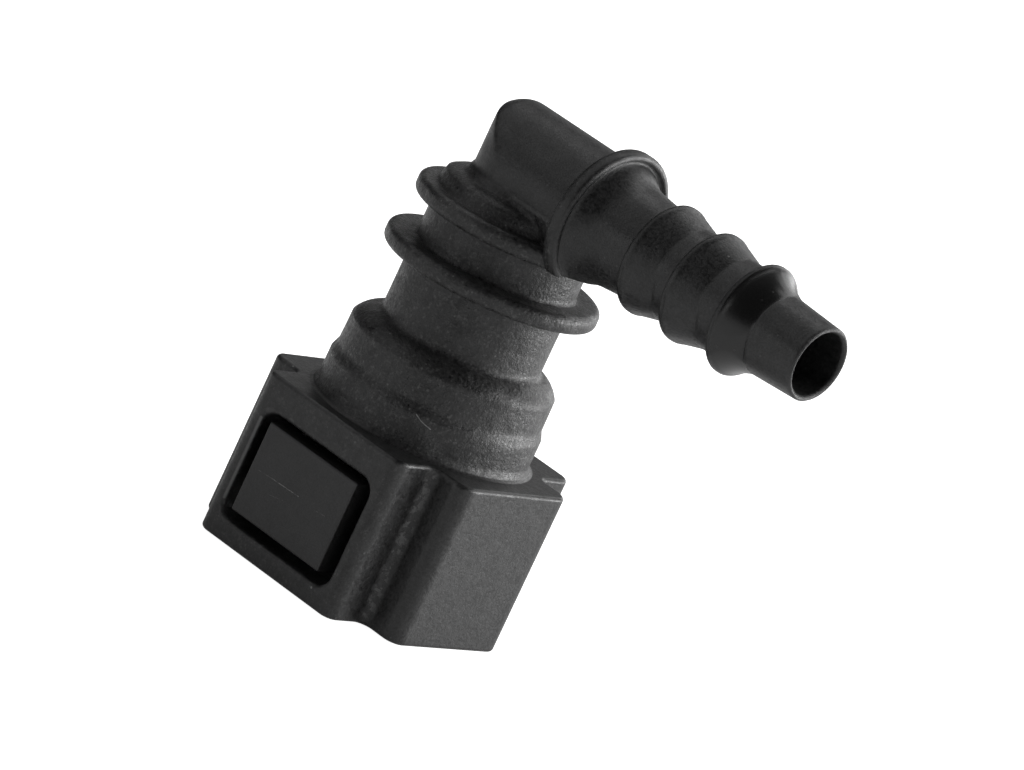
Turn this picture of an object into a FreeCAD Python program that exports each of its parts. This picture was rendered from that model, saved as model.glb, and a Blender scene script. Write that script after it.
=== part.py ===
import FreeCAD, Part
import math
import os
import re
import Sketcher
from FreeCAD import Placement, Rotation, Vector

# Push-on tube coupling with two squeeze buttons and a ribbed hose stem at a right angle.
# Frame: the mouth lies on z = 0, the tube axis is +Z, the hose stem points to +X,
# and the two buttons are on the -Y and +Y faces. Lengths are in millimetres.

os.makedirs("parts", exist_ok=True)
doc = FreeCAD.newDocument("coupling")

# Sizes
SIZES = {
    # head: a frame through which the buttons show, crossed by two plain blocks
    "head_height": 12.7,
    "frame_half_width": 7.18,
    "frame_half_depth": 10.0,
    "frame_corner": 1.1,
    "block_half_width": 10.44,
    "block_half_depth": 6.1,
    "block_corner": 1.25,
    "cross_fillet": 0.85,
    "head_edge": 0.3,
    # hollow of the head
    "window_half_width": 5.7,
    "window_sill": 1.65,
    "window_top": 10.25,
    "window_corner": 1.2,
    "window_rim": 0.35,
    "pocket_half_width": 9.2,
    "pocket_half_depth": 4.8,
    "pocket_top": 9.9,
    "mouth_radius": 5.0,
    "mouth_lead": 0.5,
    "mouth_lead_radius": 5.5,
    "mouth_inner_start": 1.1,
    "mouth_inner_radius": 6.05,
    # collar, neck and the two locating flanges
    "collar_root_radius": 8.8,
    "collar_root_mid": 8.52,
    "collar_root_rise": 0.14,
    "collar_root_top": 0.5,
    "collar_start": 11.0,
    "collar_ring_radius": 8.3,
    "collar_ring_top": 15.35,
    "collar_step_radius": 8.02,
    "collar_step_top": 16.05,
    "collar_radius": 7.97,
    "collar_top": 18.4,
    "shoulder_round": 2.3,
    "shoulder_foot_radius": 6.72,
    "shoulder_foot": 19.48,
    "neck_fillet": 0.7,
    "neck_radius": 6.2,
    "neck_start": 19.8,
    "lower_flange_radius": 8.31,
    "lower_flange_bottom": 24.36,
    "lower_flange_top": 25.72,
    "flange_edge": 0.45,
    "upper_flange_radius": 7.72,
    "upper_flange_bottom": 28.5,
    "upper_flange_top": 29.88,
    "step_foot_radius": 6.45,
    "step_radius": 6.15,
    "step_mid": 30.9,
    "step_edge_radius": 5.68,
    "step_top": 31.15,
    "root_radius": 4.95,
    "root_top": 31.33,
    "elbow_start": 32.1,
    # elbow
    "axis_height": 32.87,
    "barrel_radius": 4.55,
    "elbow_outer_round": 1.6,
    "barrel_start": 0.0,
    "barrel_end": 6.6,
    # stem flange
    "stem_flange_radius": 5.66,
    "stem_flange_end": 7.78,
    "stem_flange_edge": 0.3,
    "dish_outer_radius": 5.2,
    "dish_depth_at": 7.45,
    "dish_radius": 5.0,
    "dish_inner_radius": 4.7,
    "dish_end": 7.75,
    "shank_fillet": 4.1,
    "fillet_end": 9.8,
    "shank_radius": 3.93,
    # hose stem: three one-way ribs and a tapered nose
    "rib_crest_radius": 4.32,
    "rib_back": 0.3,
    "rib_edge": 0.12,
    "rib_edge_round": 0.13,
    "rib_land": 0.22,
    "rib_ease": 0.3,
    "rib_ease_radius": 4.2,
    "rib_ease_round": 0.8,
    "valley_radius": 3.63,
    "valley_two_radius": 3.57,
    "rib_one": 12.9,
    "rib_one_foot": 15.4,
    "rib_two": 17.16,
    "rib_two_foot": 19.75,
    "rib_three": 21.88,
    "rib_three_foot": 24.35,
    "rib_three_ease_radius": 4.08,
    "nose_hollow": 5.0,
    "nose_start_radius": 3.09,
    "nose_end": 28.54,
    "nose_end_radius": 2.87,
    "stem_end": 28.69,
    "tip_radius": 2.75,
    # flats that the mould leaves on the front and rear flanks of the ribs
    "flat_turn": 24.0,
    "flat_step": 0.14,
    "flat_sink": 0.14,
    "flat_overrun": 0.3,
    "last_flat_step": 0.22,
    "last_flat_sink": 0.24,
    "flat_clear": 5.0,
    "flat_width": 4.0,
    # passages
    "bush_seat_radius": 6.4,
    "bush_seat_top": 17.6,
    "gland_radius": 4.95,
    "pilot_radius": 3.2,
    "pilot_length": 4.2,
    "flow_radius": 2.3,
    "stem_bore_radius": 2.45,
    "tip_lead": 0.2,
    # bush, spacer and seal rings
    "ring_fit": 0.02,
    "bush_play": 0.2,
    "bush_lead_radius": 4.5,
    "bush_lead": 1.3,
    "bush_edge": 0.3,
    "spacer_fit": 0.05,
    "spacer_height": 1.8,
    "seal_cord_radius": 0.84,
    "seal_gap": 0.11,
    # buttons
    "button_half_width": 4.65,
    "button_bottom": 2.6,
    "button_top": 9.65,
    "button_proud": 0.27,
    "button_thickness": 2.0,
    "button_edge": 0.15,
    "wedge_half_width": 2.9,
    "wedge_tip_half_width": 0.6,
    "wedge_bottom": 3.4,
    "wedge_top": 8.8,
    # jaws; the ramps lie at 45 degrees, as the wedge sides do
    "press_travel": 1.3,
    "press_room": 0.1,
    "wedge_gap": 0.09,
    "jaw_bottom": 2.9,
    "jaw_top": 9.3,
    "jaw_half_depth": 4.5,
    "jaw_outer": 7.4,
    "ear_outer": 4.2,
    "jaw_inner": 0.9,
    "lip_shift": 1.05,
    "lip_radius": 4.4,
    "lip_lead_radius": 5.6,
    "lip_start": 5.0,
    "lip_top": 6.0,
    "bead_room_radius": 4.75,
}

sheet = doc.addObject("Spreadsheet::Sheet", "Sizes")
row = 0
for name, value in SIZES.items():
    row += 1
    sheet.set("A%d" % row, name)
    sheet.set("B%d" % row, repr(float(value)))
    sheet.setAlias("B%d" % row, name)
doc.recompute()


# Places worked out from the sizes: the stack of bush, seal rings and spacer, then the buttons and jaws
LOWER_SEAL = "bush_seat_top + seal_gap + seal_cord_radius"
SPACER_FOOT = LOWER_SEAL + " + seal_cord_radius + seal_gap"
SPACER_HEAD = SPACER_FOOT + " + spacer_height"
UPPER_SEAL = SPACER_HEAD + " + seal_gap + seal_cord_radius"
GLAND_TOP = UPPER_SEAL + " + seal_cord_radius + seal_gap"
PILOT_TOP = GLAND_TOP + " + pilot_length"
SEAL_CENTRE = "gland_radius - seal_cord_radius - ring_fit"
BUSH_RADIUS = "bush_seat_radius - ring_fit"
BUSH_BORE = "pilot_radius + bush_play"
BUTTON_FACE = "frame_half_depth + button_proud"
BUTTON_BACK = BUTTON_FACE + " - button_thickness"
WEDGE_TIP = BUTTON_BACK + " - wedge_half_width + wedge_tip_half_width"
EAR_END = BUTTON_BACK + " - press_travel - press_room"
EAR_INNER = "wedge_half_width - press_travel - press_room + wedge_gap"
RAMP_FOOT = BUTTON_BACK + " - wedge_half_width - wedge_gap + jaw_inner"


# Helpers that tie shapes to the table of sizes
def amount(words):
    total = 0.0
    for piece in words.replace("-", "+-").split("+"):
        piece = piece.strip()
        if piece:
            sign = -1.0 if piece.startswith("-") else 1.0
            total += sign * SIZES[piece.lstrip("- ").strip()]
    return total


def less(words):
    return "- " + words.replace("-", "~").replace("+", "-").replace("~", "+")


def formula(words):
    return re.sub(r"([a-z_]+)", r"Sizes.\1", words)


def tie(thing, **ties):
    for prop, words in ties.items():
        thing.setExpression(prop.replace("__", "."), formula(words))
    return thing


def plane_of(body, role):
    for feature in body.Origin.OriginFeatures:
        if feature.Role == role:
            return feature


def new_body(label):
    body = doc.addObject("PartDesign::Body", label)
    doc.recompute()
    return body


# The arc from one corner to the next: its centre lies to the left of the way for a positive side
def arc_between(start, end, radius, side):
    chord = end - start
    across = Vector(-chord.y, chord.x, 0).normalize()
    reach = math.sqrt(max(radius ** 2 - (chord.Length / 2) ** 2, 0.0))
    centre = (start + end) * 0.5 + across * reach * side
    first, last = (start, end) if side > 0 else (end, start)
    turns = [math.atan2(spot.y - centre.y, spot.x - centre.x) for spot in (first, last)]
    if turns[1] < turns[0]:
        turns[1] += 2 * math.pi
    return Part.ArcOfCircle(Part.Circle(centre, Vector(0, 0, 1), radius), turns[0], turns[1])


# A closed outline; each corner is held by the sizes named for it. A third size makes the side
# that leaves the corner an arc of that radius, hollow where the size has a minus sign.
def outline(body, label, plane, corners, lift=None, rise=None):
    sketch = body.newObject("Sketcher::SketchObject", label)
    sketch.AttachmentSupport = [(plane_of(body, plane), "")]
    sketch.MapMode = "FlatFace"
    if lift:
        sketch.setExpression("AttachmentOffset.Base.z", formula(lift))
    if rise:
        sketch.setExpression("AttachmentOffset.Base.y", formula(rise))
    doc.recompute()
    spots = []
    for corner in corners:
        spots.append(Vector(*[0 if words == "0" else amount(words) for words in corner[:2]], 0))
    count = len(spots)
    area = sum(a.x * b.y - b.x * a.y for a, b in zip(spots, spots[1:] + spots[:1]))
    ends = []
    for i, corner in enumerate(corners):
        start, end = spots[i], spots[(i + 1) % count]
        side = 1
        if len(corner) == 3:
            hollow = corner[2].startswith("-")
            side = 1 if (area > 0) != hollow else -1
            sketch.addGeometry(arc_between(start, end, abs(amount(corner[2])), side), False)
        else:
            sketch.addGeometry(Part.LineSegment(start, end), False)
        ends.append((1, 2) if side > 0 else (2, 1))
    for i in range(count):
        follower = (i + 1) % count
        sketch.addConstraint(Sketcher.Constraint("Coincident", i, ends[i][1], follower, ends[follower][0]))
    for i, corner in enumerate(corners):
        across, up = corner[:2]
        first = ends[i][0]
        if across == "0":
            sketch.addConstraint(Sketcher.Constraint("PointOnObject", i, first, -2))
        else:
            at = sketch.addConstraint(Sketcher.Constraint("DistanceX", -1, 1, i, first, spots[i].x))
            sketch.setExpression("Constraints[%d]" % at, formula(across))
        if up == "0":
            sketch.addConstraint(Sketcher.Constraint("PointOnObject", i, first, -1))
        else:
            at = sketch.addConstraint(Sketcher.Constraint("DistanceY", -1, 1, i, first, spots[i].y))
            sketch.setExpression("Constraints[%d]" % at, formula(up))
        if len(corner) == 3:
            radius = corner[2].lstrip("- ")
            at = sketch.addConstraint(Sketcher.Constraint("Radius", i, amount(radius)))
            sketch.setExpression("Constraints[%d]" % at, formula(radius))
    doc.recompute()
    sketch.Visibility = False
    return sketch


def turned(body, label, sketch, axis):
    thing = body.newObject("PartDesign::Revolution", label)
    thing.Profile = sketch
    thing.ReferenceAxis = (sketch, [axis])
    thing.Angle = 360.0
    doc.recompute()
    return thing


def padded(body, label, sketch, length, back=False, both=False):
    thing = body.newObject("PartDesign::Pad", label)
    thing.Profile = sketch
    thing.setExpression("Length", formula(length))
    thing.Reversed = back
    thing.Midplane = both
    doc.recompute()
    return thing


def pocketed(body, label, sketch, length, back=False, both=False):
    before = body.Shape.Volume
    thing = body.newObject("PartDesign::Pocket", label)
    thing.Profile = sketch
    thing.setExpression("Length", formula(length))
    thing.Reversed = back
    thing.Midplane = both
    doc.recompute()
    if not body.Shape.Volume < before - 1e-6:
        raise RuntimeError(label + " removes nothing")
    return thing


def rounded(body, label, base, wanted, radius):
    names = []
    for i, edge in enumerate(base.Shape.Edges):
        if wanted(edge):
            names.append("Edge%d" % (i + 1))
    if not names:
        raise RuntimeError(label + " finds no edge")
    thing = body.newObject("PartDesign::Fillet", label)
    thing.Base = (base, names)
    thing.setExpression("Radius", formula(radius))
    doc.recompute()
    return thing


def near(a, b, slack=1e-3):
    return abs(a - b) < slack


def upright(edge):
    box = edge.BoundBox
    return near(box.XLength, 0) and near(box.YLength, 0) and box.ZLength > amount("head_edge")


def stem_hoop(edge, radius, along):
    return (isinstance(edge.Curve, Part.Circle) and near(edge.Curve.Radius, amount(radius))
            and near(edge.Curve.Center.x, amount(along)) and abs(edge.Curve.Axis.x) > 0.99)


# Housing, first piece: stem, stem flange and horizontal barrel turned about the stem axis
casing = new_body("casing")
stem_outline = outline(casing, "stem_outline", "XZ_Plane", [
    ("barrel_start", "0"),
    ("barrel_start", "barrel_radius"),
    ("barrel_end", "barrel_radius"),
    ("barrel_end", "stem_flange_radius"),
    ("stem_flange_end", "stem_flange_radius"),
    ("stem_flange_end", "dish_outer_radius"),
    ("dish_depth_at", "dish_radius"),
    ("dish_end", "dish_inner_radius", "- shank_fillet"),
    ("fillet_end", "shank_radius"),
    ("rib_one - rib_back", "valley_radius"),
    ("rib_one - rib_edge", "rib_crest_radius - rib_edge", "rib_edge_round"),
    ("rib_one", "rib_crest_radius"),
    ("rib_one + rib_land", "rib_crest_radius", "rib_ease_round"),
    ("rib_one + rib_land + rib_ease", "rib_ease_radius"),
    ("rib_one_foot", "valley_radius"),
    ("rib_two - rib_back", "valley_radius"),
    ("rib_two - rib_edge", "rib_crest_radius - rib_edge", "rib_edge_round"),
    ("rib_two", "rib_crest_radius"),
    ("rib_two + rib_land", "rib_crest_radius", "rib_ease_round"),
    ("rib_two + rib_land + rib_ease", "rib_ease_radius"),
    ("rib_two_foot", "valley_two_radius"),
    ("rib_three - rib_back", "valley_two_radius"),
    ("rib_three - rib_edge", "rib_crest_radius - rib_edge", "rib_edge_round"),
    ("rib_three", "rib_crest_radius"),
    ("rib_three + rib_land", "rib_crest_radius", "rib_ease_round"),
    ("rib_three + rib_land + rib_ease", "rib_three_ease_radius", "- nose_hollow"),
    ("rib_three_foot", "nose_start_radius"),
    ("nose_end", "nose_end_radius"),
    ("stem_end", "tip_radius"),
    ("stem_end", "0"),
], rise="axis_height")
stem = turned(casing, "stem_solid", stem_outline, "H_Axis")
stem = rounded(casing, "stem_flange_round", stem,
               lambda e: stem_hoop(e, "stem_flange_radius", "barrel_end")
               or stem_hoop(e, "stem_flange_radius", "stem_flange_end"), "stem_flange_edge")

# The stem flange is cut off level with the underside of the upper flange
trim = outline(casing, "stem_flange_trim", "XY_Plane", [
    ("neck_radius", "- barrel_radius - barrel_radius"),
    ("fillet_end", "- barrel_radius - barrel_radius"),
    ("fillet_end", "barrel_radius + barrel_radius"),
    ("neck_radius", "barrel_radius + barrel_radius"),
])
pocketed(casing, "stem_flange_level", trim, "upper_flange_bottom", back=True)

# Collar, neck and flanges turned about the tube axis
tower_outline = outline(casing, "tower_outline", "XZ_Plane", [
    ("0", "collar_start"),
    ("collar_root_radius", "collar_start"),
    ("collar_root_radius", "head_height"),
    ("collar_root_mid", "head_height + collar_root_rise"),
    ("collar_ring_radius", "head_height + collar_root_top"),
    ("collar_ring_radius", "collar_ring_top"),
    ("collar_step_radius", "collar_step_top"),
    ("collar_radius", "collar_top", "shoulder_round"),
    ("shoulder_foot_radius", "shoulder_foot", "- neck_fillet"),
    ("neck_radius", "neck_start"),
    ("neck_radius", "lower_flange_bottom"),
    ("lower_flange_radius - flange_edge", "lower_flange_bottom", "flange_edge"),
    ("lower_flange_radius", "lower_flange_bottom + flange_edge"),
    ("lower_flange_radius", "lower_flange_top - flange_edge", "flange_edge"),
    ("lower_flange_radius - flange_edge", "lower_flange_top"),
    ("neck_radius", "lower_flange_top"),
    ("neck_radius", "upper_flange_bottom"),
    ("upper_flange_radius - flange_edge", "upper_flange_bottom", "flange_edge"),
    ("upper_flange_radius", "upper_flange_bottom + flange_edge"),
    ("upper_flange_radius", "upper_flange_top - flange_edge", "flange_edge"),
    ("upper_flange_radius - flange_edge", "upper_flange_top"),
    ("step_foot_radius", "upper_flange_top"),
    ("step_radius", "step_mid"),
    ("step_edge_radius", "step_top"),
    ("root_radius", "root_top"),
    ("barrel_radius", "elbow_start"),
    ("0", "elbow_start"),
])
turned(casing, "tower_solid", tower_outline, "V_Axis")

# Head: frame and blocks
frame = outline(casing, "frame_outline", "XY_Plane", [
    ("- frame_half_width", "- frame_half_depth"),
    ("frame_half_width", "- frame_half_depth"),
    ("frame_half_width", "frame_half_depth"),
    ("- frame_half_width", "frame_half_depth"),
])
padded(casing, "frame_solid", frame, "head_height")
blocks = outline(casing, "blocks_outline", "XY_Plane", [
    ("- block_half_width", "- block_half_depth"),
    ("block_half_width", "- block_half_depth"),
    ("block_half_width", "block_half_depth"),
    ("- block_half_width", "block_half_depth"),
])
blocks_pad = padded(casing, "blocks_solid", blocks, "head_height")
head = rounded(casing, "frame_corners", blocks_pad,
               lambda e: upright(e) and near(abs(e.CenterOfMass.y), amount("frame_half_depth")), "frame_corner")
head = rounded(casing, "block_corners", head,
               lambda e: upright(e) and near(abs(e.CenterOfMass.x), amount("block_half_width")), "block_corner")
head = rounded(casing, "cross_fillets", head,
               lambda e: upright(e) and near(abs(e.CenterOfMass.x), amount("frame_half_width"))
               and near(abs(e.CenterOfMass.y), amount("block_half_depth")), "cross_fillet")


def head_rim(edge):
    box = edge.BoundBox
    level = near(box.ZLength, 0) and (near(box.ZMin, amount("head_height")) or near(box.ZMin, 0))
    spot = edge.CenterOfMass
    outer = (abs(spot.x) > amount("block_half_width - block_corner")
             or abs(spot.y) > amount("block_half_depth - ring_fit"))
    circle = isinstance(edge.Curve, Part.Circle) and near(edge.Curve.Radius, amount("collar_root_radius"))
    return level and outer and not circle


head = rounded(casing, "head_edges", head, head_rim, "head_edge")

# Window that runs through both button faces, and the pockets the jaws move into
window = outline(casing, "window_outline", "XZ_Plane", [
    ("- window_half_width", "window_sill"),
    ("window_half_width", "window_sill"),
    ("window_half_width", "window_top"),
    ("- window_half_width", "window_top"),
])
window_cut = pocketed(casing, "window_tunnel", window,
                      "frame_half_depth + frame_half_depth + head_edge", both=True)
window_cut = rounded(casing, "window_corners", window_cut,
                     lambda e: near(e.BoundBox.XLength, 0) and near(e.BoundBox.ZLength, 0)
                     and near(abs(e.CenterOfMass.x), amount("window_half_width"))
                     and e.Length > amount("frame_half_depth"),
                     "window_corner")


def window_mouth(edge):
    box = edge.BoundBox
    return (near(box.YLength, 0) and near(abs(box.YMin), amount("frame_half_depth"))
            and abs(edge.CenterOfMass.x) < amount("window_half_width + ring_fit")
            and amount("window_sill - ring_fit") < edge.CenterOfMass.z < amount("window_top + ring_fit"))


window_cut = rounded(casing, "window_rims", window_cut, window_mouth, "window_rim")
pocket = outline(casing, "pocket_outline", "YZ_Plane", [
    ("- pocket_half_depth", "window_sill"),
    ("pocket_half_depth", "window_sill"),
    ("pocket_half_depth", "pocket_top"),
    ("- pocket_half_depth", "pocket_top"),
])
pocketed(casing, "jaw_pockets", pocket, "pocket_half_width + pocket_half_width", both=True)


# Elbow: where the upright and the level barrel meet, the outer corner is rounded off
def part(kind, label, turn=None, **ties):
    thing = doc.addObject(kind, label)
    if turn:
        thing.Placement = Placement(Vector(0, 0, 0), turn)
    return tie(thing, **ties)


TO_X = Rotation(Vector(0, 1, 0), 90)
upright_barrel = part("Part::Cylinder", "upright_barrel", Radius="barrel_radius",
                      Height="axis_height - upper_flange_bottom", Placement__Base__z="upper_flange_bottom")


def softened(label, base, spot):
    rim = [i + 1 for i, e in enumerate(base.Shape.Edges)
           if isinstance(e.Curve, Part.Circle) and near((e.Curve.Center - spot).Length, 0)]
    thing = doc.addObject("Part::Fillet", label)
    thing.Base = base
    thing.Edges = [(i, amount("elbow_outer_round"), amount("elbow_outer_round")) for i in rim]
    doc.recompute()
    return thing


corner_upright = part("Part::Cylinder", "corner_upright", Radius="barrel_radius", Height="barrel_radius",
                      Placement__Base__z="axis_height")
corner_level = part("Part::Cylinder", "corner_level", turn=TO_X, Radius="barrel_radius", Height="barrel_radius",
                    Placement__Base__x="- barrel_radius", Placement__Base__z="axis_height")
doc.recompute()
corner = doc.addObject("Part::Common", "elbow_corner")
corner.Base = softened("corner_cap", corner_upright, Vector(0, 0, amount("axis_height + barrel_radius")))
corner.Tool = softened("corner_end", corner_level, Vector(amount("- barrel_radius"), 0, amount("axis_height")))
doc.recompute()

solid = doc.addObject("Part::MultiFuse", "housing_solid")
solid.Shapes = [casing, upright_barrel, corner]
doc.recompute()

# Passages: mouth, bush seat, seal gland, pilot bore, flow passage and stem bore
tools = []


def drill(label, radius, start, length):
    thing = doc.addObject("Part::Cylinder", label)
    tie(thing, Radius=radius, Height=length)
    if start != "0":
        tie(thing, Placement__Base__z=start)
    tools.append(thing)
    return thing


drill("mouth_bore", "mouth_radius", "0", "window_sill")
lead = doc.addObject("Part::Cone", "mouth_lead_cone")
tie(lead, Radius1="mouth_lead_radius", Radius2="mouth_radius", Height="mouth_lead")
tools.append(lead)
inner_lead = doc.addObject("Part::Cone", "mouth_inner_cone")
tie(inner_lead, Radius1="mouth_radius", Radius2="mouth_inner_radius",
    Height="window_sill - mouth_inner_start", Placement__Base__z="mouth_inner_start")
tools.append(inner_lead)
drill("bush_seat", "bush_seat_radius", "window_top - head_edge", "bush_seat_top - window_top + head_edge")
drill("seal_gland", "gland_radius", "bush_seat_top - head_edge", GLAND_TOP + " - bush_seat_top + head_edge")
drill("pilot_bore", "pilot_radius", GLAND_TOP + " - head_edge", "pilot_length + head_edge")
drill("flow_passage", "flow_radius", PILOT_TOP + " - head_edge", "axis_height + head_edge " + less(PILOT_TOP))
turn_ball = doc.addObject("Part::Sphere", "flow_turn")
tie(turn_ball, Radius="stem_bore_radius", Placement__Base__z="axis_height")
tools.append(turn_ball)
along = doc.addObject("Part::Cylinder", "stem_bore")
along.Placement = Placement(Vector(0, 0, 0), TO_X)
tie(along, Radius="stem_bore_radius", Height="stem_end + head_edge", Placement__Base__z="axis_height")
tools.append(along)
tip = doc.addObject("Part::Cone", "tip_lead_cone")
tip.Placement = Placement(Vector(0, 0, 0), TO_X)
tie(tip, Radius1="stem_bore_radius", Radius2="stem_bore_radius + tip_lead", Height="tip_lead",
    Placement__Base__x="stem_end - tip_lead", Placement__Base__z="axis_height")
tools.append(tip)


# Flats on the ribs: each cuts from the crest down to the next valley, turned a little below the stem's sides
def rib_flat(label, crest, step, foot, depth, turn):
    body = new_body(label)
    sketch = outline(body, label + "_outline", "XZ_Plane", [
        (crest + " + rib_land", "rib_crest_radius - " + step),
        (foot, depth),
        (foot, "flat_clear"),
        (crest + " + rib_land", "flat_clear"),
    ])
    padded(body, label + "_solid", sketch, "flat_width", both=True)
    body.Placement = Placement(Vector(0, 0, 0), Rotation(Vector(1, 0, 0), turn))
    tie(body, Placement__Base__z="axis_height")
    tools.append(body)


for side, turn in (("front", 90 + amount("flat_turn")), ("rear", -90 - amount("flat_turn"))):
    rib_flat("flat_%s_one" % side, "rib_one", "flat_step",
             "rib_one_foot + flat_overrun", "valley_radius - flat_sink", turn)
    rib_flat("flat_%s_two" % side, "rib_two", "flat_step",
             "rib_two_foot + flat_overrun", "valley_two_radius - flat_sink", turn)
    rib_flat("flat_%s_three" % side, "rib_three", "last_flat_step",
             "rib_three_foot", "nose_start_radius - last_flat_sink", turn)
doc.recompute()
passages = doc.addObject("Part::MultiFuse", "passages")
passages.Shapes = tools
doc.recompute()
housing = doc.addObject("Part::Cut", "housing")
housing.Base = solid
housing.Tool = passages
doc.recompute()

# Bush pressed into the collar; it keeps the seal rings in and guides the tube
bush = new_body("seal_retaining_bush")
bush_outline = outline(bush, "bush_outline", "XZ_Plane", [
    ("bush_lead_radius", "window_top"),
    (BUSH_RADIUS, "window_top"),
    (BUSH_RADIUS, "bush_seat_top - bush_edge"),
    (BUSH_RADIUS + " - bush_edge", "bush_seat_top"),
    (BUSH_BORE, "bush_seat_top"),
    (BUSH_BORE, "window_top + bush_lead"),
])
turned(bush, "bush_solid", bush_outline, "V_Axis")

# Spacer between the two seal rings
spacer = new_body("seal_spacer_ring")
spacer_outline = outline(spacer, "spacer_outline", "XZ_Plane", [
    (BUSH_BORE, SPACER_FOOT),
    ("gland_radius - spacer_fit", SPACER_FOOT),
    ("gland_radius - spacer_fit", SPACER_HEAD),
    (BUSH_BORE, SPACER_HEAD),
])
turned(spacer, "spacer_solid", spacer_outline, "V_Axis")

# Seal rings
lower_seal = doc.addObject("Part::Torus", "seal_ring_lower")
tie(lower_seal, Radius1=SEAL_CENTRE, Radius2="seal_cord_radius", Placement__Base__z=LOWER_SEAL)
upper_seal = doc.addObject("Part::Torus", "seal_ring_upper")
tie(upper_seal, Radius1=SEAL_CENTRE, Radius2="seal_cord_radius", Placement__Base__z=UPPER_SEAL)
doc.recompute()


# Buttons: a flat pad with a wedge behind it; side is -1 for the front face, +1 for the rear
def button(label, sign):
    body = new_body(label)
    face, back, point = [less(words) if sign < 0 else words for words in (BUTTON_FACE, BUTTON_BACK, WEDGE_TIP)]
    pad = outline(body, label + "_pad_outline", "XY_Plane", [
        ("- button_half_width", face),
        ("button_half_width", face),
        ("button_half_width", back),
        ("- button_half_width", back),
    ], lift="button_bottom")
    solid_pad = padded(body, label + "_pad", pad, "button_top - button_bottom")
    rounded(body, label + "_edges", solid_pad,
            lambda e: near(e.BoundBox.YLength, 0) and near(abs(e.CenterOfMass.y), amount(BUTTON_FACE)),
            "button_edge")
    wedge = outline(body, label + "_wedge_outline", "XY_Plane", [
        ("- wedge_half_width", back),
        ("wedge_half_width", back),
        ("wedge_tip_half_width", point),
        ("- wedge_tip_half_width", point),
    ], lift="wedge_bottom")
    padded(body, label + "_wedge", wedge, "wedge_top - wedge_bottom")
    return body


front_button = button("button_front", -1)
rear_button = button("button_rear", 1)


# Jaws: a locking lip under the bead room, with ears that the wedges push apart
def jaw(label, sign):
    body = new_body(label)
    inner, ear, outer, back = [less(words) if sign < 0 else words
                               for words in ("jaw_inner", EAR_INNER, "ear_outer", "jaw_outer")]
    plan = [
        (inner, less(RAMP_FOOT)),
        (ear, less(EAR_END)),
        (outer, less(EAR_END)),
        (outer, "- jaw_half_depth"),
        (back, "- jaw_half_depth"),
        (back, "jaw_half_depth"),
        (outer, "jaw_half_depth"),
        (outer, EAR_END),
        (ear, EAR_END),
        (inner, RAMP_FOOT),
    ]
    sketch = outline(body, label + "_outline", "XY_Plane", plan, lift="jaw_bottom")
    padded(body, label + "_block", sketch, "jaw_top - jaw_bottom")
    return body


def jaw_room(label, sign):
    shift = "- lip_shift" if sign > 0 else "lip_shift"
    lip = doc.addObject("Part::Cylinder", label + "_lip_tool")
    tie(lip, Radius="lip_radius", Height="jaw_top", Placement__Base__x=shift)
    cone = doc.addObject("Part::Cone", label + "_lead_tool")
    tie(cone, Radius1="lip_lead_radius", Radius2="lip_radius", Height="lip_start - jaw_bottom",
        Placement__Base__x=shift, Placement__Base__z="jaw_bottom")
    room = doc.addObject("Part::Cylinder", label + "_bead_tool")
    tie(room, Radius="bead_room_radius", Height="jaw_top - lip_top + head_edge", Placement__Base__z="lip_top")
    both = doc.addObject("Part::MultiFuse", label + "_tools")
    both.Shapes = [lip, cone, room]
    doc.recompute()
    return both


jaws = []
for label, sign in (("jaw_right", 1), ("jaw_left", -1)):
    block = jaw(label + "_body", sign)
    cut = doc.addObject("Part::Cut", label)
    cut.Base = block
    cut.Tool = jaw_room(label, sign)
    doc.recompute()
    jaws.append(cut)

# Check every object, then write one file for each piece
doc.recompute()
for thing in doc.Objects:
    if "Invalid" in thing.State or "Error" in thing.State:
        raise RuntimeError(thing.Label + " is not valid: " + str(thing.State))

pieces = {
    "housing": housing,
    "seal_retaining_bush": bush,
    "seal_spacer_ring": spacer,
    "seal_ring_lower": lower_seal,
    "seal_ring_upper": upper_seal,
    "button_front": front_button,
    "button_rear": rear_button,
    "jaw_right": jaws[0],
    "jaw_left": jaws[1],
}
for name, thing in pieces.items():
    shape = thing.Shape
    if shape.isNull() or not shape.isValid() or len(shape.Solids) != 1:
        raise RuntimeError(name + " is not one sound solid: %d" % len(shape.Solids))
    shape.exportStep("parts/" + name + ".step")
    box = shape.BoundBox
    print("%-22s %9.2f mm3  x %.2f %.2f  y %.2f %.2f  z %.2f %.2f" % (
        name, shape.Volume, box.XMin, box.XMax, box.YMin, box.YMax, box.ZMin, box.ZMax))
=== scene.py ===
import math

import bpy
from mathutils import Matrix, Vector

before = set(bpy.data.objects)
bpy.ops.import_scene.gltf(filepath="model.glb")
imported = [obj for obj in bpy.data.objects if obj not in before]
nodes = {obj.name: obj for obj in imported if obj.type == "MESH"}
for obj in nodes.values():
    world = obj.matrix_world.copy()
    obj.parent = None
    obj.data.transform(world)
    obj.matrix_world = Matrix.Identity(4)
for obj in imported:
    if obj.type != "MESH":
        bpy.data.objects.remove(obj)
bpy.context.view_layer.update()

# A black plastic push-on coupling, standing on its mouth on a white floor.
# Lengths are metres; +Z is up and the hose stem points to +X
print("frame loaded:", len(nodes), "pieces")


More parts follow.
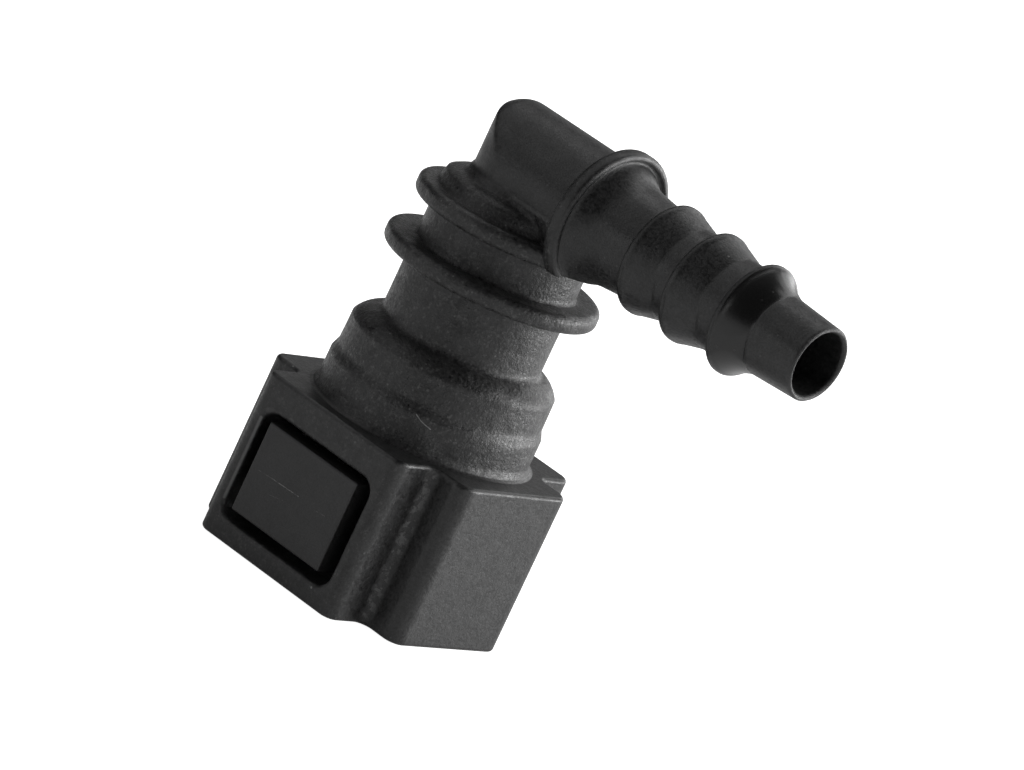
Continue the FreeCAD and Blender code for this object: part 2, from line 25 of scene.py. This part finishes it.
# Shader maths: a wrapped socket takes part in plain expressions
class Flow:
    def __init__(self, tree, socket=None):
        self.tree = tree
        self.socket = socket

    # One method for every node: its type, its settings first, then the values or links of its sockets.
    # A socket goes by its name, or by its number as i0, i1 and so on
    def node(self, kind, settings=None, **values):
        made = self.tree.nodes.new(kind)
        for name, value in (settings or {}).items():
            setattr(made, name, value)
        for name, value in values.items():
            numbered = name[0] == "i" and name[1:].isdigit()
            socket = made.inputs[int(name[1:]) if numbered else name]
            if isinstance(value, Flow):
                self.tree.links.new(value.socket, socket)
            else:
                socket.default_value = value
        return made

    def out(self, kind, settings=None, output=0, **values):
        return Flow(self.tree, self.node(kind, settings, **values).outputs[output])

    def maths(self, operation, first, second):
        return self.out("ShaderNodeMath", {"operation": operation}, i0=first, i1=second)

    def __add__(self, other):
        return self.maths("ADD", self, other)

    def __radd__(self, other):
        return self.maths("ADD", other, self)

    def __sub__(self, other):
        return self.maths("SUBTRACT", self, other)

    def __rsub__(self, other):
        return self.maths("SUBTRACT", other, self)

    def __mul__(self, other):
        return self.maths("MULTIPLY", self, other)

    def __rmul__(self, other):
        return self.maths("MULTIPLY", other, self)

    def larger(self, other):
        return self.maths("MAXIMUM", self, other)

    # A mask from 0 to 1 becomes one from lowest to 1
    def atLeast(self, lowest):
        return lowest + (1.0 - lowest) * self

    # 0 below low, 1 above high, smooth between
    def rise(self, low, high):
        return self.out("ShaderNodeMapRange", {"interpolation_type": "SMOOTHSTEP"},
                        i0=self, i1=low, i2=high, i3=0.0, i4=1.0)

    # 0 to 1 cloudy noise; size is the width of its blotches in metres
    def cloud(self, size, detail, rough):
        return self.out("ShaderNodeTexNoise", {"noise_dimensions": "3D"}, Vector=self,
                        Scale=1.0 / size, Detail=detail, Roughness=rough)

    # Specks: balls one to a cell, of which only a share is there; 1 inside, fading over the outer half
    def specks(self, cell, radius, share):
        cells = self.node("ShaderNodeTexVoronoi", {"feature": "F1"}, Vector=self, Scale=1.0 / cell,
                          Randomness=1.0)
        near = 1.0 - Flow(self.tree, cells.outputs["Distance"]).rise(0.5 * radius / cell, radius / cell)
        draw = self.out("ShaderNodeSeparateColor", Color=Flow(self.tree, cells.outputs["Color"]))
        sharpness = 0.001
        return near * draw.rise(1.0 - share, 1.0 - share + sharpness)

    # As a mask, mixes two colours
    def blend(self, first, second):
        return self.out("ShaderNodeMix", {"data_type": "RGBA"}, output=2, i0=self, i6=first, i7=second)

    def vector(self, operation, output=0, **values):
        return self.out("ShaderNodeVectorMath", {"operation": operation}, output=output,
                        i0=self, **values)

    # A line from start to end: 1 within half its width, fading to 0 at its edge. The distance to the line
    # is the length of what is left of the offset from start, once its part along the line is taken off;
    # that part is held between the line's ends
    def stroke(self, start, end, halfWidth, fade):
        run = Vector(end) - Vector(start)
        offset = self.vector("SUBTRACT", i1=start)
        share = offset.vector("DOT_PRODUCT", output=1, i1=tuple(run / run.length_squared))
        held = self.out("ShaderNodeClamp", Value=share)
        along = self.out("ShaderNodeVectorMath", {"operation": "SCALE"}, i0=tuple(run), Scale=held)
        away = offset.vector("SUBTRACT", i1=along).vector("LENGTH", output=1)
        return 1.0 - away.rise(halfWidth * (1.0 - fade), halfWidth)

    def line(self, points, halfWidth, fade):
        total = None
        for start, end in zip(points, points[1:]):
            one = self.stroke(start, end, halfWidth, fade)
            total = total.larger(one) if total else one
        return total


def newMaterial(name):
    material = bpy.data.materials.new(name)
    material.use_nodes = True
    material.node_tree.nodes.clear()
    return material, Flow(material.node_tree)


def grey(level, cool=0.0):
    return (level, level, level * (1.0 + cool), 1.0)


# What the finishes share. Noise is its detail and roughness; edges are where a noise turns from 0 to 1;
# a mix gives the weights of the noises, which add up to 1
commonSkin = {
    "mottleNoise": (3.0, 0.6), "mottleEdges": (0.36, 0.64),
    "grainNoise": (2.0, 0.6), "grainEdges": (0.39, 0.61),
    "fineNoise": (2.0, 0.7), "fineEdges": (0.34, 0.66), "fineSize": 0.55,
    "waveNoise": (2.0, 0.5), "waveEdges": (0.3, 0.7),
    "toneMix": {"mottle": 0.27, "grain": 0.48, "fine": 0.25},
    "roughMix": {"grain": 0.4, "fine": 0.35, "wave": 0.25},
    "fleckCell": 0.00055, "fleckRadius": 0.0001,
    "dustCell": 0.0016, "dustRadius": 0.00011,
    "softenSamples": 6,
}
# One finish each: colour from dark to pale, gloss, the sizes and heights of grain and waves, flecks and
# dust. Soften is how far the light rounds off an edge
bodyFinish = {
    "name": "bodyPlastic", "soften": 0.0001, "dark": 0.002, "pale": 0.027, "cool": 0.02,
    "mottle": 0.0009, "roughness": 0.43, "roughRange": 0.42, "grain": 0.00022, "grainHeight": 0.000005,
    "wave": 0.0010, "waveHeight": 0.000009, "dustShare": 0.12, "dustLevel": 0.32,
    "fleckShare": 0.14, "fleckLevel": 0.10,
}
retainerFinish = {
    "name": "retainerPlastic", "soften": 0.00006, "dark": 0.011, "pale": 0.026, "cool": 0.02,
    "mottle": 0.0022, "roughness": 0.43, "roughRange": 0.20, "grain": 0.00018, "grainHeight": 0.000003,
    "wave": 0.0028, "waveHeight": 0.000006, "dustShare": 0.02, "dustLevel": 0.2,
    "fleckShare": 0.02, "fleckLevel": 0.05,
}
innerFinish = {
    "name": "innerPlastic", "soften": 0.00006, "dark": 0.022, "pale": 0.030, "cool": 0.0,
    "mottle": 0.0016, "roughness": 0.36, "roughRange": 0.06, "grain": 0.0002, "grainHeight": 0.000003,
    "wave": 0.002, "waveHeight": 0.000006, "dustShare": 0.0,
}
sealFinish = {
    "name": "sealRubber", "soften": 0.0001, "dark": 0.010, "pale": 0.014, "cool": 0.0,
    "mottle": 0.0009, "roughness": 0.58, "roughRange": 0.08, "grain": 0.00012, "grainHeight": 0.000002,
    "wave": 0.0015, "waveHeight": 0.000004, "dustShare": 0.0,
}


# The coat is what a piece's own zones and marks may change before the shader takes it
def makeFinish(look, addMarks=None):
    skin = commonSkin
    material, flow = newMaterial(look["name"])
    place = flow.out("ShaderNodeTexCoord", output="Object")
    mottle = place.cloud(look["mottle"], *skin["mottleNoise"]).rise(*skin["mottleEdges"])
    grain = place.cloud(look["grain"], *skin["grainNoise"]).rise(*skin["grainEdges"])
    fine = place.cloud(look["grain"] * skin["fineSize"], *skin["fineNoise"]).rise(*skin["fineEdges"])
    wave = place.cloud(look["wave"], *skin["waveNoise"]).rise(*skin["waveEdges"])

    mix = skin["toneMix"]
    tone = mottle * mix["mottle"] + grain * mix["grain"] + fine * mix["fine"]
    mix = skin["roughMix"]
    gloss = grain * mix["grain"] + fine * mix["fine"] + wave * mix["wave"] - 0.5
    coat = {
        "colour": tone.blend(grey(look["dark"], look["cool"]), grey(look["pale"], look["cool"])),
        "rough": look["roughness"] + gloss * look["roughRange"],
        "height": grain * look["grainHeight"] + wave * look["waveHeight"],
        "soften": look["soften"],
        "dusty": 1.0,
    }
    if addMarks:
        addMarks(place, coat)
    if look["dustShare"] > 0.0:
        fleck = place.specks(skin["fleckCell"], skin["fleckRadius"], look["fleckShare"]) * coat["dusty"]
        dust = place.specks(skin["dustCell"], skin["dustRadius"], look["dustShare"]) * coat["dusty"]
        coat["colour"] = fleck.blend(coat["colour"], grey(look["fleckLevel"]))
        coat["colour"] = dust.blend(coat["colour"], grey(look["dustLevel"]))

    rounded = flow.out("ShaderNodeBevel", {"samples": skin["softenSamples"]}, Radius=coat["soften"])
    bump = flow.out("ShaderNodeBump", Height=coat["height"], Strength=1.0, Distance=1.0, Normal=rounded)
    shader = flow.out("ShaderNodeBsdfPrincipled", Roughness=coat["rough"], Normal=bump,
                      **{"Base Color": coat["colour"]})
    flow.node("ShaderNodeOutputMaterial", Surface=shader)
    return material


# The collar, neck and groove came out of the mould more pitted than the rest, and the head's frame
# somewhat so. The tube runs from low to high; the stem lies past stemStart and above stemBottom
pittedZone = {
    "low": 0.0127, "high": 0.0316, "fade": 0.0004,
    "stemStart": 0.0072, "stemBottom": 0.027,
    "frameEdge": 0.0072, "frameShare": 0.55, "elsewhere": 0.2,
    "pitSize": 0.00023, "pitNoise": (3.0, 0.65), "pitEdges": (0.5, 0.66),
    "pitHeight": 0.00005, "pitTone": 0.075,
    "patchSize": 0.0007, "patchNoise": (3.0, 0.65), "patchEdges": (0.42, 0.62),
    "patchTone": 0.024, "pitsBetween": 0.3,
    "lumpSize": 0.0013, "lumpNoise": (2.0, 0.5), "lumpHeight": 0.00012,
    "soften": 0.0005, "stemSoften": 0.00028, "elbowSoften": 0.0005,
    "leastGloss": 0.45, "leastDust": 0.25,
}
# The last rib's taper is glossier than its neighbours, and darker in colour: painted shade that stands in
# for a dark reflection there
shadedGlossyTaper = {
    "start": 0.02208, "end": 0.02436, "fade": 0.00006, "tone": 0.008, "roughness": 0.26, "polish": 0.8,
}
# Marks on the housing: a painted highlight along the window's left inner rim, a pale spot by the window's
# corner, and a curved scratch on the collar
housingHighlightAndMarks = [
    # Painted highlight: a light line on the window's left inner wall, which the shape leaves in shade
    {"points": [(-0.00584, -0.00992, 0.0094), (-0.00584, -0.00992, 0.0029)],
     "halfWidth": 0.00018, "level": 0.15, "fade": 0.8},
    # A pale spot by the window's corner
    {"points": [(-0.0055, -0.00997, 0.01015), (-0.0049, -0.00995, 0.0103)],
     "halfWidth": 0.0003, "level": 0.05, "fade": 0.8},
    {"points": [(0.00439, -0.00703, 0.01537), (0.00476, -0.00679, 0.0151), (0.00506, -0.00657, 0.01496),
                (0.00548, -0.00623, 0.01481)],
     "halfWidth": 0.00005, "level": 0.22, "fade": 0.6},
]
# A painted highlight along the bend between the frame and the right block, broken up into dots
bendHighlight = {
    "points": [(0.0074, -0.00642, 0.0121), (0.0074, -0.00642, 0.001)], "halfWidth": 0.0007,
    "fade": 0.9, "level": 0.10, "dotSize": 0.00055, "dotNoise": (3.0, 0.65), "dotEdges": (0.5, 0.6),
}


def addHousingZones(place, coat):
    zone = pittedZone
    low, high, fade = zone["low"], zone["high"], zone["fade"]
    parts = place.node("ShaderNodeSeparateXYZ", Vector=place)
    along, up = Flow(place.tree, parts.outputs["X"]), Flow(place.tree, parts.outputs["Z"])

    # Masks of the places
    beside = 1.0 - along.rise(zone["stemStart"], zone["stemStart"] + fade)
    below = 1.0 - up.rise(zone["stemBottom"] - fade, zone["stemBottom"])
    tube = up.rise(low, low + fade) * (1.0 - up.rise(high, high + fade)) * beside.larger(below)
    headFront = ((1.0 - along.rise(zone["frameEdge"], zone["frameEdge"] + fade))
                 * (1.0 - up.rise(low - fade, low)))
    stem = (1.0 - beside) * (1.0 - below)
    elbow = beside * up.rise(high, high + fade)
    elsewhere = zone["elsewhere"]
    share = tube.atLeast(elsewhere) + headFront * (zone["frameShare"] - elsewhere)

    # Pits, most of them in patches, and low lumps
    pits = place.cloud(zone["pitSize"], *zone["pitNoise"])
    patches = place.cloud(zone["patchSize"], *zone["patchNoise"]).rise(*zone["patchEdges"])
    lumps = place.cloud(zone["lumpSize"], *zone["lumpNoise"])
    pitted = share * patches.atLeast(zone["pitsBetween"]) * pits.rise(*zone["pitEdges"])
    colour = (share * patches).blend(coat["colour"], grey(zone["patchTone"]))
    colour = pitted.blend(colour, grey(zone["pitTone"]))
    height = coat["height"] + tube * (pits * zone["pitHeight"] + lumps * zone["lumpHeight"])
    coat["soften"] = (coat["soften"] + tube * zone["soften"] + stem * zone["stemSoften"]
                      + elbow * zone["elbowSoften"])
    coat["dusty"] = share.atLeast(zone["leastDust"])

    # The last taper, glossier and with painted shade in its colour; outside the pitted places the gloss
    # varies less
    taper = shadedGlossyTaper
    glossyShaded = (along.rise(taper["start"], taper["start"] + taper["fade"])
             * (1.0 - along.rise(taper["end"], taper["end"] + taper["fade"])))
    # Painted shade: the last taper's colour is darkened
    colour = glossyShaded.blend(colour, grey(taper["tone"]))
    plain = bodyFinish["roughness"]
    uneven = (coat["rough"] - plain) * share.atLeast(zone["leastGloss"]) * (1.0 - glossyShaded)
    coat["rough"] = plain + uneven + glossyShaded * (taper["roughness"] - plain)
    coat["height"] = height * (1.0 - glossyShaded * taper["polish"])

    # Painted strokes: the highlight on the window's inner rim, the pale spot at its corner and the
    # scratch on the collar
    for mark in housingHighlightAndMarks:
        stroke = place.line(mark["points"], mark["halfWidth"], mark["fade"])
        colour = stroke.blend(colour, grey(mark["level"]))
    # Painted highlight in the bend between the frame and the block, broken up into dots
    glint = bendHighlight
    dots = place.cloud(glint["dotSize"], *glint["dotNoise"]).rise(*glint["dotEdges"])
    glinting = place.line(glint["points"], glint["halfWidth"], glint["fade"]) * dots
    coat["colour"] = glinting.blend(colour, grey(glint["level"]))


# Scratches on the front button, broken up into dots
buttonMarks = {
    "dotSize": 0.00022, "dotNoise": (1.0, 0.5), "dotEdges": (0.44, 0.56), "betweenDots": 0.15,
    "fade": 0.7,
    "scratches": [
        {"points": [(-0.0038, -0.01027, 0.00618), (-0.0023, -0.01027, 0.00626)],
         "halfWidth": 0.000045, "level": 0.07},
        {"points": [(-0.0023, -0.01027, 0.00626), (0.0004, -0.01027, 0.00633)],
         "halfWidth": 0.00005, "level": 0.16},
        {"points": [(0.0024, -0.01027, 0.00622), (0.0033, -0.01027, 0.0063)],
         "halfWidth": 0.00004, "level": 0.07},
        {"points": [(-0.0022, -0.01027, 0.0051), (-0.0007, -0.01027, 0.0054)],
         "halfWidth": 0.00004, "level": 0.06},
    ],
}


def addButtonScratches(place, coat):
    marks = buttonMarks
    dots = place.cloud(marks["dotSize"], *marks["dotNoise"]).rise(*marks["dotEdges"])
    for scratch in marks["scratches"]:
        stroke = place.line(scratch["points"], scratch["halfWidth"], marks["fade"])
        dotted = stroke * dots.atLeast(marks["betweenDots"])
        coat["colour"] = dotted.blend(coat["colour"], grey(scratch["level"]))


# Each finish and the pieces that wear it
wearers = [
    (makeFinish(bodyFinish, addHousingZones), ["housing"]),
    (makeFinish(retainerFinish, addButtonScratches),
     ["button_front", "button_rear", "jaw_left", "jaw_right"]),
    (makeFinish(innerFinish), ["seal_retaining_bush", "seal_spacer_ring"]),
    (makeFinish(sealFinish), ["seal_ring_lower", "seal_ring_upper"]),
]
for finish, names in wearers:
    for name in names:
        nodes[name].data.materials.clear()
        nodes[name].data.materials.append(finish)
print("materials made:", len(wearers))


# Camera: right, down and forward are directions of the picture, in the part's frame
cameraSetup = {
    "place": (0.297493, -0.405312, 0.140874),
    "right": (0.67542, 0.610455, 0.413701),
    "down": (0.470862, 0.07475, -0.879031),
    "forward": (-0.567538, 0.788515, -0.236956),
    "focalPixels": 7215.0,
    "pictureWidth": 1024,
    "sensor": 36.0,
    "nearest": 0.05,
    "farthest": 10.0,
}


def makeCamera():
    setup = cameraSetup
    data = bpy.data.cameras.new("photoCamera")
    data.sensor_fit = "HORIZONTAL"
    data.sensor_width = setup["sensor"]
    data.lens = setup["focalPixels"] * setup["sensor"] / setup["pictureWidth"]
    data.clip_start = setup["nearest"]
    data.clip_end = setup["farthest"]
    camera = bpy.data.objects.new("photoCamera", data)
    turn = Matrix((setup["right"], -Vector(setup["down"]), -Vector(setup["forward"]))).transposed()
    camera.matrix_world = Matrix.Translation(setup["place"]) @ turn.to_4x4()
    bpy.context.collection.objects.link(camera)
    bpy.context.scene.camera = camera


makeCamera()

# Stage: a floor and a surround that the camera sees as white. Gloss sees a faint glow on the floor, and
# the surround gives a little light
stageSetup = {
    "floorHalf": 2.0,
    "floorDrop": 0.00002,
    "floorWhite": 0.8,
    "floorLift": 0.96,
    "floorGleam": 0.2,
    "surroundLight": 0.02,
}


def makeFloor():
    setup = stageSetup
    half, level = setup["floorHalf"], -setup["floorDrop"]
    corners = [(-half, -half, level), (half, -half, level), (half, half, level), (-half, half, level)]
    mesh = bpy.data.meshes.new("floor")
    mesh.from_pydata(corners, [], [(0, 1, 2, 3)])
    floor = bpy.data.objects.new("floor", mesh)
    bpy.context.collection.objects.link(floor)
    material, flow = newMaterial("floorWhite")
    rays = flow.node("ShaderNodeLightPath")
    seen = Flow(flow.tree, rays.outputs["Is Camera Ray"])
    mirrored = Flow(flow.tree, rays.outputs["Is Glossy Ray"])
    matt = flow.out("ShaderNodeBsdfDiffuse", Color=grey(setup["floorWhite"]))
    strength = seen * setup["floorLift"] + mirrored * setup["floorGleam"]
    glow = flow.out("ShaderNodeEmission", Strength=strength)
    flow.node("ShaderNodeOutputMaterial", Surface=flow.out("ShaderNodeAddShader", i0=matt, i1=glow))
    mesh.materials.append(material)


def makeSurround():
    world = bpy.data.worlds.new("surround")
    world.use_nodes = True
    world.node_tree.nodes.clear()
    flow = Flow(world.node_tree)
    seen = flow.out("ShaderNodeLightPath", output="Is Camera Ray")
    strength = seen.atLeast(stageSetup["surroundLight"])
    glow = flow.out("ShaderNodeBackground", Color=grey(1.0), Strength=strength)
    flow.node("ShaderNodeOutputWorld", Surface=glow)
    bpy.context.scene.world = world


makeFloor()
makeSurround()

# Lamps: soft panels round the object, each aimed at its middle
lampSetup = {
    "aim": (0.005, 0.0, 0.018),
    "distance": 0.6,
    "panels": [
        # name, degrees round from +X towards +Y, degrees up, width, height, power
        ("rightLow", 53, 6, 0.5, 0.2, 3.35),
        ("backLow", 98, 12, 0.25, 0.25, 0.5),
        ("leftFrontLow", 248, 5, 0.35, 0.2, 0.3),
        ("frontRightLow", 334, 5, 0.3, 0.2, 0.27),
        ("backdrop", 128, 14, 0.5, 0.2, 0.12),
        ("noseMiddle", 20, 28, 0.25, 0.35, 0.87),
        ("rightHigh", 42, 36, 0.3, 0.25, 0.95),
        ("backHigh", 100, 36, 0.3, 0.25, 0.4),
        ("leftHigh", 230, 38, 0.35, 0.3, 0.27),
        ("backLeftTop", 132, 58, 0.35, 0.25, 0.46),
        ("leftTop", 195, 58, 0.4, 0.3, 0.26),
    ],
}


def makeLamps():
    aim = Vector(lampSetup["aim"])
    for name, aroundDegrees, upDegrees, width, height, power in lampSetup["panels"]:
        data = bpy.data.lights.new(name, "AREA")
        data.shape = "RECTANGLE"
        data.size = width
        data.size_y = height
        data.energy = power
        lamp = bpy.data.objects.new(name, data)
        around, up = math.radians(aroundDegrees), math.radians(upDegrees)
        away = Vector((math.cos(around) * math.cos(up), math.sin(around) * math.cos(up), math.sin(up)))
        lamp.location = aim + away * lampSetup["distance"]
        lamp.rotation_euler = away.to_track_quat("Z", "Y").to_euler()
        bpy.context.collection.objects.link(lamp)


makeLamps()
bpy.context.scene.view_settings.view_transform = "Standard"
print("stage, camera and lamps made")
